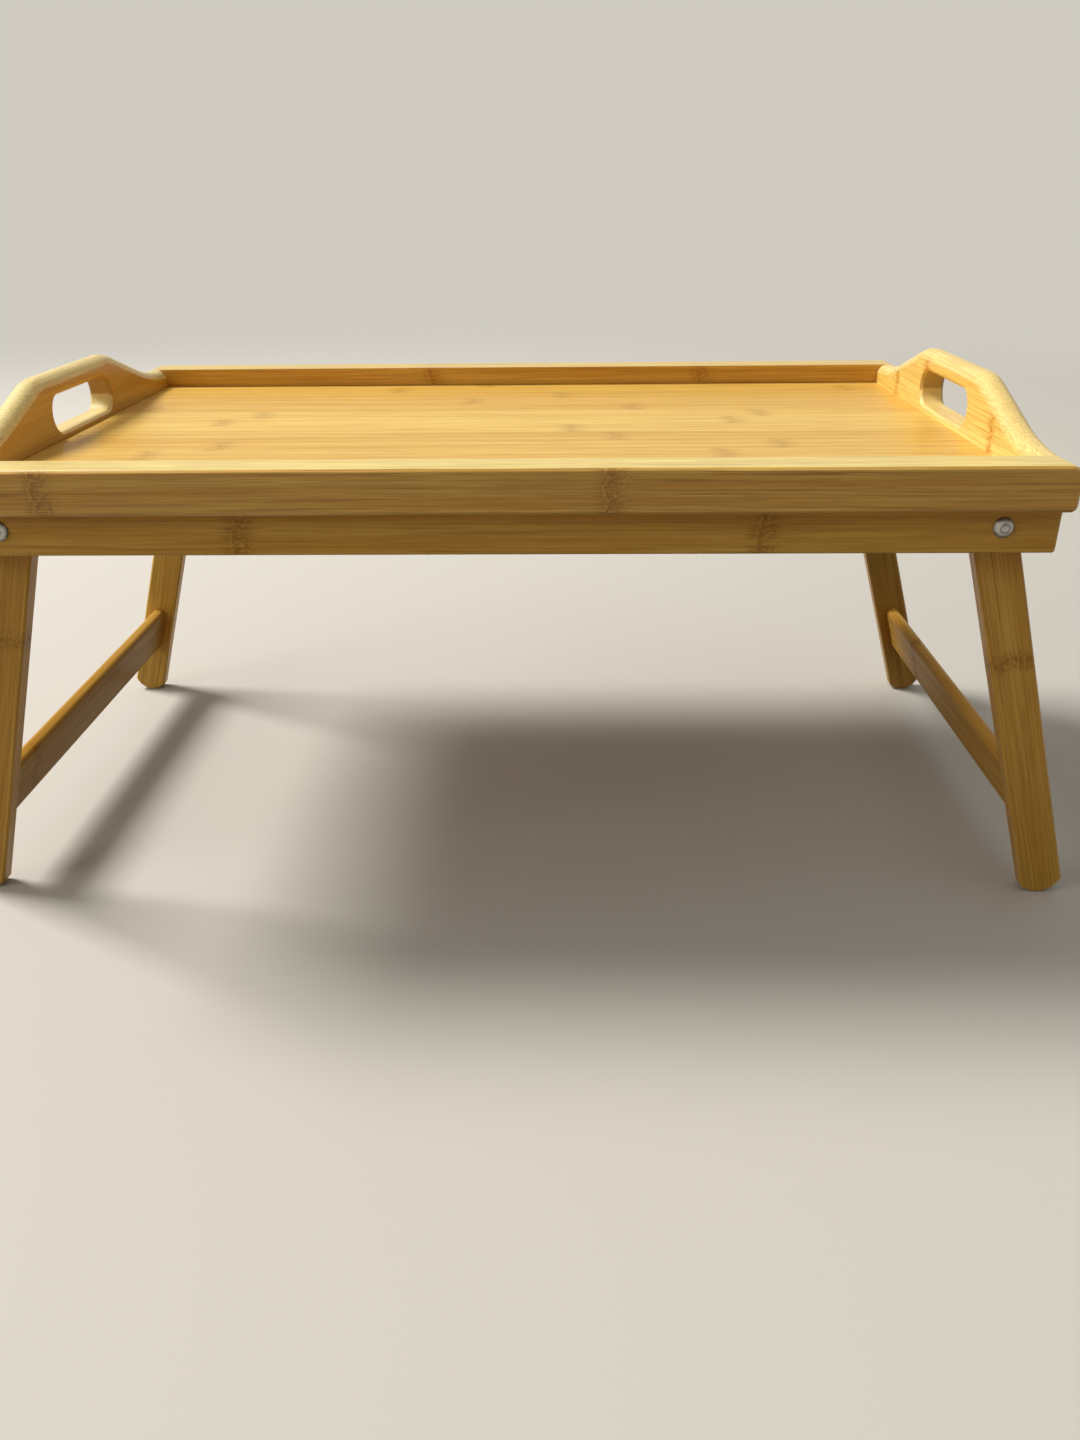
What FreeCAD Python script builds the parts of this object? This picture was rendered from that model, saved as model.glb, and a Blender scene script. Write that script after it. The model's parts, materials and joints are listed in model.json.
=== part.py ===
import FreeCAD, Part

import math
import os

# Bed tray table of laminated bamboo: a shallow tray with two handle boards, on two
# folding U-shaped leg frames.  Millimetres.  X runs along the tray, Y across it, Z up;
# the origin is on the floor under the middle of the tray, with the legs folded out.

# ---- Legs and stance ----
splay_deg = 16.8             # lean of an open leg, feet outward
leg_reach = 199.4            # pivot axis to the centre of the foot's rounding
foot_radius = 12.0           # rounding of the foot
leg_width = 20.7
leg_thickness = 9.6
leg_ease = 1.0               # chamfer of the long edges
crossbar_above_foot = 38.9   # foot rounding centre to the middle of the crossbar
crossbar_height = 31.0
crossbar_thickness = 8.0
crossbar_round = 3.2         # rounded long edges of the crossbar
fold_clearance = 2.15        # folded leg to the underside of the panel
stop_gap = 0.3               # open leg's stop facet to the underside of the panel

# ---- Tray ----
tray_length = 503.0          # over the ends of the long rails
tray_width = 310.6           # over the outer faces of the long rails
upper_rail_height = 20.3
upper_rail_thickness = 20.3
rail_top_round = 6.0         # upper corner of the long rail's end
rail_low_round = 3.0         # lower corner of the long rail's end
rail_ease = 1.2              # chamfer round the outer face
lower_rail_height = 20.5
lower_rail_thickness = 11.0
lower_rail_short = 2.3       # lower rail's end back from the upper rail's end
lower_rail_round = 1.5
lower_rail_ease = 0.8
panel_thickness = 5.0
panel_sill = 4.0             # wood below the panel in rails and end boards
groove_depth = 3.5
panel_edge_gap = 0.3         # room for the panel to swell in its groove
panel_fit = 0.1              # groove height over the panel's thickness

# ---- Handle boards ----
board_thickness = 13.5
handle_rise = 22.0           # top of the handle above the rails
handle_shoulder_radius = 45.0
handle_cove_radius = 135.0
handle_slope = 39.9          # straight stretch between shoulder and cove
handle_bullnose = 6.2        # rounding of both top edges
grip_length = 79.0
grip_height = 19.0
grip_above_rail = 1.8        # middle of the grip hole above the rail's top
grip_ease = 1.4              # chamfer of the hole's rim

# ---- Pivots ----
pivot_from_board = 13.7      # pivot axis to the handle board's inner face
bolt_diameter = 6.0          # smooth shank that the leg turns on
bolt_running_clearance = 0.08
bolt_seat_clearance = 0.05
bolt_past_nut = 1.5          # shank's end beyond the nut
head_diameter = 9.2
head_height = 2.8
head_rim = 0.7
head_dimple_radius = 1.9
head_dimple_depth = 0.6
nut_across_flats = 10.0
nut_height = 5.0
thread_clearance = 0.05
washer_diameter = 14.0
washer_thickness = 0.8
washer_clearance = 0.1
running_gap = 0.3            # washer to the turning leg
leg_rail_gap = 0.4           # leg's outer face to the upper rail's inner face

# ---- Glued joints ----
corner_tenon_thickness = 5.0
corner_tenon_height = 13.0
corner_tenon_wall = 1.2      # wood between panel groove and tenon
corner_tenon_in_rail = 10.0
corner_tenon_in_board = 12.0
tenon_chamfer = 0.6
tongue_thickness = 4.0       # lower rail's tongue in the upper rail
tongue_height = 4.0
tongue_outset = 0.5          # outward from the middle of the lower rail
tongue_short = 22.0          # tongue's end back from the lower rail's end
bar_tenon_thickness = 5.0    # crossbar's stub tenon in the leg
bar_tenon_height = 22.0
bar_tenon_length = 7.0
glue_clearance = 0.05
glue_end_gap = 0.5

touching = 0.001             # closer than this counts as the same place

# ---- Worked out from the values above ----
splay = math.radians(splay_deg)
pivot_z = foot_radius + leg_reach * math.cos(splay)
panel_low_z = pivot_z + leg_width / 2 + fold_clearance
rail_low_z = panel_low_z - panel_sill
rail_top_z = rail_low_z + upper_rail_height
lower_rail_low_z = rail_low_z - lower_rail_height
rail_outer_y = tray_width / 2
rail_inner_y = rail_outer_y - upper_rail_thickness
board_outer_x = tray_length / 2
board_inner_x = board_outer_x - board_thickness
pivot_x = board_inner_x - pivot_from_board
leg_outer_y = rail_inner_y - leg_rail_gap
leg_inner_y = leg_outer_y - leg_thickness
lower_rail_inner_y = leg_outer_y + running_gap + washer_thickness
lower_rail_outer_y = lower_rail_inner_y + lower_rail_thickness
lower_rail_end_x = tray_length / 2 - lower_rail_short
handle_radii = handle_shoulder_radius + handle_cove_radius
handle_run = math.sqrt(handle_slope ** 2 + 2 * handle_radii * handle_rise - handle_rise ** 2)
handle_flat = rail_inner_y - handle_run    # half length of the level stretch
nose_radius = panel_low_z - pivot_z - stop_gap
crossbar_reach = leg_reach - crossbar_above_foot


def vec(x, y, z):
    return FreeCAD.Vector(x, y, z)


def across(x, z):
    """A point of a profile drawn in the XZ plane."""
    return vec(x, 0, z)


def along(y, z):
    """A point of a profile drawn in the YZ plane."""
    return vec(0, y, z)


def rounded_outline(corners, place):
    """Closed wire through (a, b, radius) corners; place turns (a, b) into a 3-D point."""
    count = len(corners)
    starts = []
    ends = []
    middles = []
    for i, (a, b, radius) in enumerate(corners):
        corner = FreeCAD.Vector(a, b, 0)
        before = FreeCAD.Vector(*corners[i - 1][:2], 0)
        after = FreeCAD.Vector(*corners[(i + 1) % count][:2], 0)
        to_before = (before - corner).normalize()
        to_after = (after - corner).normalize()
        half_angle = to_before.getAngle(to_after) / 2
        setback = radius / math.tan(half_angle)
        bisector = (to_before + to_after).normalize()
        centre = corner + bisector * (radius / math.sin(half_angle))
        starts.append(corner + to_before * setback)
        ends.append(corner + to_after * setback)
        middles.append(centre - bisector * radius)
    edges = []
    for i in range(count):
        if corners[i][2] > 0:
            points = [place(p.x, p.y) for p in (starts[i], middles[i], ends[i])]
            edges.append(Part.Arc(*points).toShape())
        following = (i + 1) % count
        line = Part.LineSegment(place(ends[i].x, ends[i].y),
                                place(starts[following].x, starts[following].y))
        edges.append(line.toShape())
    return Part.Wire(edges)


def rod(diameter, start, direction, length):
    return Part.makeCylinder(diameter / 2, length, start, direction)


def ease_face_edges(shape, axis, value, size):
    """Chamfer every edge of the flat face that lies at value along the axis."""
    edges = []
    for face in shape.Faces:
        box = face.BoundBox
        low = getattr(box, axis + "Min")
        high = getattr(box, axis + "Max")
        if abs(low - value) < touching and abs(high - value) < touching:
            edges.extend(face.Edges)
    return shape.makeChamfer(size, edges)


def mirror_x(shape):
    return shape.mirror(vec(0, 0, 0), vec(1, 0, 0))


def mirror_y(shape):
    return shape.mirror(vec(0, 0, 0), vec(0, 1, 0))


# ---- Glued joints ----

def block(low, high):
    """Box between two opposite corners."""
    size = high - low
    return Part.makeBox(size.x, size.y, size.z, low)


def corner_tenon_ends():
    """Lowest and highest corner of the loose tenon in the back right corner."""
    low_x = board_inner_x + groove_depth + corner_tenon_wall
    low_z = (rail_low_z + rail_top_z - corner_tenon_height) / 2
    return (vec(low_x, rail_inner_y - corner_tenon_in_board, low_z),
            vec(low_x + corner_tenon_thickness, rail_inner_y + corner_tenon_in_rail,
                low_z + corner_tenon_height))


def corner_tenon():
    """Loose tenon that holds the handle board between the long rails."""
    low, high = corner_tenon_ends()
    cut = tenon_chamfer
    outline = Part.makePolygon([
        vec(low.x + cut, low.y, low.z), vec(high.x - cut, low.y, low.z),
        vec(high.x, low.y + cut, low.z), vec(high.x, high.y - cut, low.z),
        vec(high.x - cut, high.y, low.z), vec(low.x + cut, high.y, low.z),
        vec(low.x, high.y - cut, low.z), vec(low.x, low.y + cut, low.z),
        vec(low.x + cut, low.y, low.z)])
    return Part.Face(outline).extrude(vec(0, 0, corner_tenon_height))


def corner_mortise():
    """Room for the loose tenon, in the board and the rail alike."""
    low, high = corner_tenon_ends()
    room = vec(glue_clearance, glue_end_gap, glue_clearance)
    return block(low - room, high + room)


def rail_tongue(side_gap, end_gap):
    """The tongue of the back lower rail; with gaps, the groove that it is glued into."""
    half_x = lower_rail_end_x - tongue_short + end_gap
    middle_y = (lower_rail_inner_y + lower_rail_outer_y) / 2 + tongue_outset
    half_y = tongue_thickness / 2 + side_gap
    return block(vec(-half_x, middle_y - half_y, rail_low_z),
                 vec(half_x, middle_y + half_y, rail_low_z + tongue_height + end_gap))


# ---- Long rails ----

def panel_groove(half_x, half_y):
    """The slot that takes the panel's edge, reaching half_x and half_y from the middle."""
    height = panel_thickness + panel_fit
    return Part.makeBox(2 * half_x, 2 * half_y, height,
                        vec(-half_x, -half_y, panel_low_z - panel_fit / 2))


def back_upper_rail():
    end = tray_length / 2
    outline = rounded_outline([
        (-end, rail_low_z, rail_low_round), (end, rail_low_z, rail_low_round),
        (end, rail_top_z, rail_top_round), (-end, rail_top_z, rail_top_round)], across)
    rail = Part.Face(outline).extrude(vec(0, upper_rail_thickness, 0))
    rail.translate(vec(0, rail_inner_y, 0))
    rail = ease_face_edges(rail, "Y", rail_outer_y, rail_ease)
    rail = rail.cut(panel_groove(board_inner_x + groove_depth, rail_inner_y + groove_depth))
    mortise = corner_mortise()
    return rail.cut([mortise, mirror_x(mortise), rail_tongue(glue_clearance, glue_end_gap)])


def back_lower_rail():
    """The rail under the tray that the pivots pass through."""
    end = lower_rail_end_x
    outline = rounded_outline([
        (-end, lower_rail_low_z, lower_rail_round), (end, lower_rail_low_z, lower_rail_round),
        (end, rail_low_z, 0), (-end, rail_low_z, 0)], across)
    rail = Part.Face(outline).extrude(vec(0, lower_rail_thickness, 0))
    rail.translate(vec(0, lower_rail_inner_y, 0))
    rail = ease_face_edges(rail, "Y", lower_rail_outer_y, lower_rail_ease)
    size = bolt_diameter + 2 * bolt_seat_clearance
    bores = [rod(size, vec(side * pivot_x, lower_rail_inner_y, pivot_z), vec(0, 1, 0),
                 lower_rail_thickness) for side in (-1, 1)]
    return rail.cut(bores).fuse(rail_tongue(0, 0)).removeSplitter()


# ---- Handle boards and panel ----

def handle_top_edges():
    """The top line of a handle board: level, shoulder, slope and cove on each side."""
    top_z = rail_top_z + handle_rise
    slope = (math.atan2(handle_run, handle_radii - handle_rise)
             - math.atan2(handle_slope, handle_radii))

    def shoulder(angle):
        return (handle_flat + handle_shoulder_radius * math.sin(angle),
                top_z - handle_shoulder_radius * (1 - math.cos(angle)))

    def cove(angle):
        return (rail_inner_y - handle_cove_radius * math.sin(angle),
                rail_top_z + handle_cove_radius * (1 - math.cos(angle)))

    edges = [Part.LineSegment(along(-handle_flat, top_z), along(handle_flat, top_z)).toShape()]
    for side in (-1, 1):
        bend = [along(side * y, z) for y, z in (shoulder(0), shoulder(slope / 2), shoulder(slope))]
        dip = [along(side * y, z) for y, z in (cove(slope), cove(slope / 2), cove(0))]
        edges.append(Part.Arc(*bend).toShape())
        edges.append(Part.LineSegment(bend[-1], dip[0]).toShape())
        edges.append(Part.Arc(*dip).toShape())
    return edges


def grip_hole():
    """Hand hole with half-round ends, cut through the board's thickness."""
    radius = grip_height / 2
    straight = grip_length / 2 - radius
    middle = rail_top_z + grip_above_rail
    edges = []
    for side in (-1, 1):
        low = along(side * straight, middle - radius)
        high = along(side * straight, middle + radius)
        end = along(side * (straight + radius), middle)
        edges.append(Part.Arc(low, end, high).toShape())
        level = middle + side * radius
        edges.append(Part.LineSegment(along(-straight, level), along(straight, level)).toShape())
    outline = Part.Wire(Part.__sortEdges__(edges))
    return Part.Face(outline).extrude(vec(board_thickness, 0, 0))


def right_handle_board():
    low_left = along(-rail_inner_y, rail_low_z)
    low_right = along(rail_inner_y, rail_low_z)
    sides = [Part.LineSegment(low_left, low_right).toShape(),
             Part.LineSegment(low_left, along(-rail_inner_y, rail_top_z)).toShape(),
             Part.LineSegment(low_right, along(rail_inner_y, rail_top_z)).toShape()]
    outline = Part.Wire(Part.__sortEdges__(handle_top_edges() + sides))
    board = Part.Face(outline).extrude(vec(board_thickness, 0, 0))
    top_edges = [edge for edge in board.Edges
                 if edge.BoundBox.XLength < touching
                 and edge.BoundBox.ZMin > rail_top_z - touching]
    board = board.makeFillet(handle_bullnose, top_edges)
    hole = grip_hole()
    board = board.cut(hole)
    hole_box = hole.BoundBox
    hole_box.enlarge(touching)
    rim = [edge for edge in board.Edges
           if edge.BoundBox.XLength < touching and hole_box.isInside(edge.BoundBox)]
    board = board.makeChamfer(grip_ease, rim)
    board.translate(vec(board_inner_x, 0, 0))
    board = board.cut(panel_groove(board_inner_x + groove_depth, rail_inner_y))
    mortise = corner_mortise()
    return board.cut([mortise, mirror_y(mortise)])


def tray_panel():
    half_x = board_inner_x + groove_depth - panel_edge_gap
    half_y = rail_inner_y + groove_depth - panel_edge_gap
    return Part.makeBox(2 * half_x, 2 * half_y, panel_thickness,
                        vec(-half_x, -half_y, panel_low_z))


# ---- Leg frames ----

def leg_frame_place(shape):
    """Stand a shape drawn with its leg hanging straight down from the origin."""
    turn = FreeCAD.Rotation(vec(0, 1, 0), -splay_deg)
    place = FreeCAD.Placement(vec(pivot_x, 0, pivot_z), turn)
    moved = shape.copy()
    moved.Placement = place.multiply(shape.Placement)
    return moved


def bar_tenon(side_gap, end_gap):
    """The crossbar's stub tenon at the back; with gaps, the mortise in the leg."""
    half_x = bar_tenon_thickness / 2 + side_gap
    half_z = bar_tenon_height / 2 + side_gap
    return block(vec(-half_x, leg_inner_y, -crossbar_reach - half_z),
                 vec(half_x, leg_inner_y + bar_tenon_length + end_gap, -crossbar_reach + half_z))


def leg_outline():
    """Foot rounded, sides parallel, top nose round the pivot with a flat stop facet.

    The facet is level when the leg is open, so that it bears under the panel, and the
    nose is concentric with the pivot, so that it passes under the panel when folding."""
    half = leg_width / 2
    foot_shoulder = -leg_reach - math.sqrt(foot_radius ** 2 - half ** 2)
    facet_start = (half, (nose_radius - half * math.sin(splay)) / math.cos(splay))
    facet_end = (nose_radius * math.sin(splay), nose_radius * math.cos(splay))
    nose_end = (-half, math.sqrt(nose_radius ** 2 - half ** 2))
    nose_turn = (math.atan2(facet_end[0], facet_end[1]) + math.atan2(-half, nose_end[1])) / 2
    nose_middle = (nose_radius * math.sin(nose_turn), nose_radius * math.cos(nose_turn))
    return Part.Wire([
        Part.Arc(across(-half, foot_shoulder), across(0, -leg_reach - foot_radius),
                 across(half, foot_shoulder)).toShape(),
        Part.LineSegment(across(half, foot_shoulder), across(*facet_start)).toShape(),
        Part.LineSegment(across(*facet_start), across(*facet_end)).toShape(),
        Part.Arc(across(*facet_end), across(*nose_middle), across(*nose_end)).toShape(),
        Part.LineSegment(across(*nose_end), across(-half, foot_shoulder)).toShape()])


def back_right_leg():
    leg = Part.Face(leg_outline()).extrude(vec(0, leg_thickness, 0))
    leg.translate(vec(0, leg_inner_y, 0))
    leg = ease_face_edges(leg, "Y", leg_outer_y, leg_ease)
    leg = ease_face_edges(leg, "Y", leg_inner_y, leg_ease)
    size = bolt_diameter + 2 * bolt_running_clearance
    hole = rod(size, vec(0, leg_inner_y, 0), vec(0, 1, 0), leg_thickness)
    return leg_frame_place(leg.cut([hole, bar_tenon(glue_clearance, glue_end_gap)]))


def right_crossbar():
    half = crossbar_thickness / 2
    low = -crossbar_reach - crossbar_height / 2
    high = -crossbar_reach + crossbar_height / 2
    outline = rounded_outline([
        (-half, low, crossbar_round), (half, low, crossbar_round),
        (half, high, crossbar_round), (-half, high, crossbar_round)], across)
    bar = Part.Face(outline).extrude(vec(0, 2 * leg_inner_y, 0))
    bar.translate(vec(0, -leg_inner_y, 0))
    tenon = bar_tenon(0, 0)
    return leg_frame_place(bar.fuse([tenon, mirror_y(tenon)]).removeSplitter())


# ---- Pivot hardware, drawn on the Z axis with the outside of the tray upward ----

def pivot_place(shape, y):
    """Turn Z to +Y and put the shape's zero at y on the back right pivot."""
    turn = FreeCAD.Rotation(vec(0, 0, 1), vec(0, 1, 0))
    place = FreeCAD.Placement(vec(pivot_x, y, pivot_z), turn)
    moved = shape.copy()
    moved.Placement = place.multiply(shape.Placement)
    return moved


def domed_head():
    """Round head with a straight rim, a domed crown and a shallow dimple."""
    radius = head_diameter / 2
    crown = head_height - head_rim
    sphere = (radius ** 2 + crown ** 2) / (2 * crown)
    half_turn = math.asin(radius / sphere) / 2
    middle = vec(sphere * math.sin(half_turn), 0,
                 head_height - sphere * (1 - math.cos(half_turn)))
    profile = Part.Wire([
        Part.LineSegment(vec(0, 0, 0), vec(radius, 0, 0)).toShape(),
        Part.LineSegment(vec(radius, 0, 0), vec(radius, 0, head_rim)).toShape(),
        Part.Arc(vec(radius, 0, head_rim), middle, vec(0, 0, head_height)).toShape(),
        Part.LineSegment(vec(0, 0, head_height), vec(0, 0, 0)).toShape()])
    return Part.Face(profile).revolve(vec(0, 0, 0), vec(0, 0, 1), 360)


def pivot_bolt():
    """Bolt with a domed, dimpled head: the pin that the leg turns on."""
    grip = lower_rail_thickness + leg_thickness + 2 * (washer_thickness + running_gap)
    length = grip + nut_height + bolt_past_nut
    ball_radius = (head_dimple_radius ** 2 + head_dimple_depth ** 2) / (2 * head_dimple_depth)
    dimple = Part.makeSphere(ball_radius, vec(0, 0, head_height - head_dimple_depth + ball_radius))
    shank = rod(bolt_diameter, vec(0, 0, -length), vec(0, 0, 1), length)
    return domed_head().cut(dimple).fuse(shank).removeSplitter()


def pivot_nut():
    """Locking nut that closes the pivot inside the tray without clamping the leg."""
    corner_radius = nut_across_flats / 2 / math.cos(math.radians(30))
    corners = [vec(corner_radius * math.cos(math.radians(60 * i)),
                   corner_radius * math.sin(math.radians(60 * i)), 0) for i in range(7)]
    body = Part.Face(Part.makePolygon(corners)).extrude(vec(0, 0, -nut_height))
    hole = rod(bolt_diameter + 2 * thread_clearance, vec(0, 0, -nut_height), vec(0, 0, 1),
               nut_height)
    return body.cut(hole)


def washer():
    ring = rod(washer_diameter, vec(0, 0, 0), vec(0, 0, 1), washer_thickness)
    hole = rod(bolt_diameter + 2 * washer_clearance, vec(0, 0, 0), vec(0, 0, 1),
               washer_thickness)
    return ring.cut(hole)


def four_corners(shape):
    """The back right piece and its three mirror images, by corner name."""
    front = mirror_y(shape)
    return {"back_right": shape, "front_right": front,
            "back_left": mirror_x(shape), "front_left": mirror_x(front)}


def build_nodes():
    inner_washer_y = leg_inner_y - running_gap - washer_thickness
    upper_rail = back_upper_rail()
    lower_rail = back_lower_rail()
    board = right_handle_board()
    crossbar = right_crossbar()
    nodes = {
        "front_upper_rail": mirror_y(upper_rail),
        "back_upper_rail": upper_rail,
        "front_lower_rail": mirror_y(lower_rail),
        "back_lower_rail": lower_rail,
        "left_handle_board": mirror_x(board),
        "right_handle_board": board,
        "tray_panel": tray_panel(),
        "left_crossbar": mirror_x(crossbar),
        "right_crossbar": crossbar}
    for corner, leg in four_corners(back_right_leg()).items():
        nodes[corner + "_leg"] = leg
    small_pieces = {
        "corner_tenons": corner_tenon(),
        "pivot_bolts": pivot_place(pivot_bolt(), lower_rail_outer_y),
        "spacer_washers": pivot_place(washer(), leg_outer_y + running_gap),
        "nut_washers": pivot_place(washer(), inner_washer_y),
        "pivot_nuts": pivot_place(pivot_nut(), inner_washer_y)}
    for name, piece in small_pieces.items():
        pair = Part.makeCompound([piece, mirror_x(piece)])
        nodes["back_" + name] = pair
        nodes["front_" + name] = mirror_y(pair)
    return nodes


os.makedirs("parts", exist_ok=True)
for node_name, node_shape in build_nodes().items():
    node_shape.exportStep("parts/" + node_name + ".step")
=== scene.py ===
import json
import math

import bpy
from mathutils import Matrix, Vector

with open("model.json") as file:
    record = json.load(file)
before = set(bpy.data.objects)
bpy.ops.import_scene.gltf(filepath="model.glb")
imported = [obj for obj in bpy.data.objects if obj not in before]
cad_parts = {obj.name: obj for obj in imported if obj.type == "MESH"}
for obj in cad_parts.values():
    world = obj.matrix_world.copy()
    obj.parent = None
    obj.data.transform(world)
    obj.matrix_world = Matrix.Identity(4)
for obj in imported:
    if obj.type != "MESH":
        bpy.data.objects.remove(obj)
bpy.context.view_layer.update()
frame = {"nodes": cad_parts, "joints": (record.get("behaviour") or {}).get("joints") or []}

in_metre = 1000                 # millimetres in a metre
nodes = frame["nodes"]

# ---- Tray panel ----
# The tray's floor is one board of bamboo strips glued edge to edge, sanded and lacquered.
# Its grain runs along the tray; each strip shows its own tone and a faint mark where the
# bamboo stalk had a joint.  Its edges sit in grooves in the rails and the handle boards.


def shader_group(name, inputs, outputs):
    """A new shader node group; returns it with its input and output nodes."""
    group = bpy.data.node_groups.new(name, "ShaderNodeTree")
    for socket_name, kind, value in inputs:
        socket = group.interface.new_socket(socket_name, in_out="INPUT", socket_type=kind)
        if value is not None:
            socket.default_value = value
    for socket_name, kind in outputs:
        group.interface.new_socket(socket_name, in_out="OUTPUT", socket_type=kind)
    return group, group.nodes.new("NodeGroupInput"), group.nodes.new("NodeGroupOutput")


def wire(tree, source, socket, target):
    """Join an output of one node to an input socket."""
    tree.links.new(source.outputs[socket], target)


def reckon(tree, operation, first, second, third=None, clamp=False):
    """A Math node; each operand is a number or an output socket."""
    node = tree.nodes.new("ShaderNodeMath")
    node.operation = operation
    node.use_clamp = clamp
    for slot, value in enumerate((first, second, third)):
        if isinstance(value, bpy.types.NodeSocket):
            tree.links.new(value, node.inputs[slot])
        elif value is not None:
            node.inputs[slot].default_value = value
    return node.outputs[0]


def step_down(tree, value, near, far):
    """1 where value is below near, falling smoothly to 0 at far."""
    node = tree.nodes.new("ShaderNodeMapRange")
    node.interpolation_type = "SMOOTHSTEP"
    tree.links.new(value, node.inputs["Value"])
    for name, number in (("From Min", near), ("From Max", far), ("To Min", 1.0), ("To Max", 0.0)):
        if isinstance(number, bpy.types.NodeSocket):
            tree.links.new(number, node.inputs[name])
        else:
            node.inputs[name].default_value = number
    return node.outputs["Result"]


def drawn_out(tree, grain, length, width, shift=(0.0, 0.0, 0.0)):
    """Coordinates in which length along the grain and width across it count as one."""
    shape = tree.nodes.new("ShaderNodeMapping")
    shape.inputs["Scale"].default_value = (1 / length, 1 / width, 1 / width)
    shape.inputs["Location"].default_value = shift
    tree.links.new(grain, shape.inputs["Vector"])
    return shape


def stretched_noise(tree, grain, length, width, detail=2.0, shift=0.0, roughness=0.55):
    """Noise drawn out along the grain; length and width are its size in millimetres."""
    across_shift = 1.7 * shift
    depth_shift = 2.3 * shift
    shape = drawn_out(tree, grain, length, width, (shift, across_shift, depth_shift))
    noise = tree.nodes.new("ShaderNodeTexNoise")
    noise.inputs["Scale"].default_value = 1.0
    noise.inputs["Detail"].default_value = detail
    noise.inputs["Roughness"].default_value = roughness
    wire(tree, shape, "Vector", noise.inputs["Vector"])
    return noise.outputs["Fac"]


def stretched_cells(tree, grain, length, width, feature="F1"):
    """Distance within Voronoi cells drawn out along the grain, sizes in millimetres."""
    shape = drawn_out(tree, grain, length, width)
    cells = tree.nodes.new("ShaderNodeTexVoronoi")
    cells.feature = feature
    cells.inputs["Scale"].default_value = 1.0
    wire(tree, shape, "Vector", cells.inputs["Vector"])
    return cells.outputs["Distance"]


def make_fibre_group():
    """Bamboo's fibres: fine dark threads along the grain, dots where they are cut across."""
    group, given, result = shader_group(
        "bamboo_fibres",
        [("Grain", "NodeSocketVector", None)],
        [("Threads", "NodeSocketFloat"), ("Streaks", "NodeSocketFloat"),
         ("Pores", "NodeSocketFloat")])
    grain = given.outputs["Grain"]
    thread_depth = 0.55
    hair_depth = 0.6
    fine = stretched_noise(group, grain, length=60.0, width=0.75, shift=3.1, roughness=0.6)
    threads = reckon(group, "MULTIPLY", step_down(group, fine, near=0.41, far=0.54),
                     thread_depth)
    hair = stretched_noise(group, grain, length=35.0, width=0.4, detail=1.0, shift=5.9)
    hairs = reckon(group, "MULTIPLY", step_down(group, hair, near=0.36, far=0.44), hair_depth)
    bold = stretched_noise(group, grain, length=90.0, width=0.9, detail=1.0, shift=7.7)
    bold_threads = step_down(group, bold, near=0.31, far=0.35)
    both = reckon(group, "MAXIMUM", reckon(group, "MAXIMUM", threads, hairs), bold_threads)
    group.links.new(both, result.inputs["Threads"])
    streaks = stretched_noise(group, grain, length=200.0, width=4.5, detail=4.0, shift=1.3)
    group.links.new(streaks, result.inputs["Streaks"])
    cells = stretched_cells(group, grain, length=9.0, width=0.8)
    group.links.new(step_down(group, cells, near=0.12, far=0.38), result.inputs["Pores"])
    return group


def make_strip_group():
    """Glued strips: a tone for each strip and the thin dark line between two of them."""
    group, given, result = shader_group(
        "bamboo_strips",
        [("Grain", "NodeSocketVector", None), ("Strip width", "NodeSocketFloat", 6.0),
         ("Strip thickness", "NodeSocketFloat", 20.0), ("Line width", "NodeSocketFloat", 0.15)],
        [("Tone", "NodeSocketFloat"), ("Glue line", "NodeSocketFloat"),
         ("Place", "NodeSocketFloat")])
    parts = group.nodes.new("ShaderNodeSeparateXYZ")
    wire(group, given, "Grain", parts.inputs[0])
    index = group.nodes.new("ShaderNodeCombineXYZ")
    edge = []
    for axis, size in (("Y", "Strip width"), ("Z", "Strip thickness")):
        turns = reckon(group, "DIVIDE", parts.outputs[axis], given.outputs[size])
        group.links.new(reckon(group, "FLOOR", turns, None), index.inputs[axis])
        inside = reckon(group, "PINGPONG", turns, 0.5)
        edge.append(reckon(group, "MULTIPLY", inside, given.outputs[size]))
    dice = group.nodes.new("ShaderNodeTexWhiteNoise")
    dice.noise_dimensions = "3D"
    wire(group, index, "Vector", dice.inputs["Vector"])
    wire(group, dice, "Value", result.inputs["Tone"])
    split = group.nodes.new("ShaderNodeSeparateColor")
    wire(group, dice, "Color", split.inputs[0])
    wire(group, split, "Green", result.inputs["Place"])
    nearest = reckon(group, "MINIMUM", edge[0], edge[1])
    line = step_down(group, nearest, 0.0, given.outputs["Line width"])
    group.links.new(line, result.inputs["Glue line"])
    return group


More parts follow.
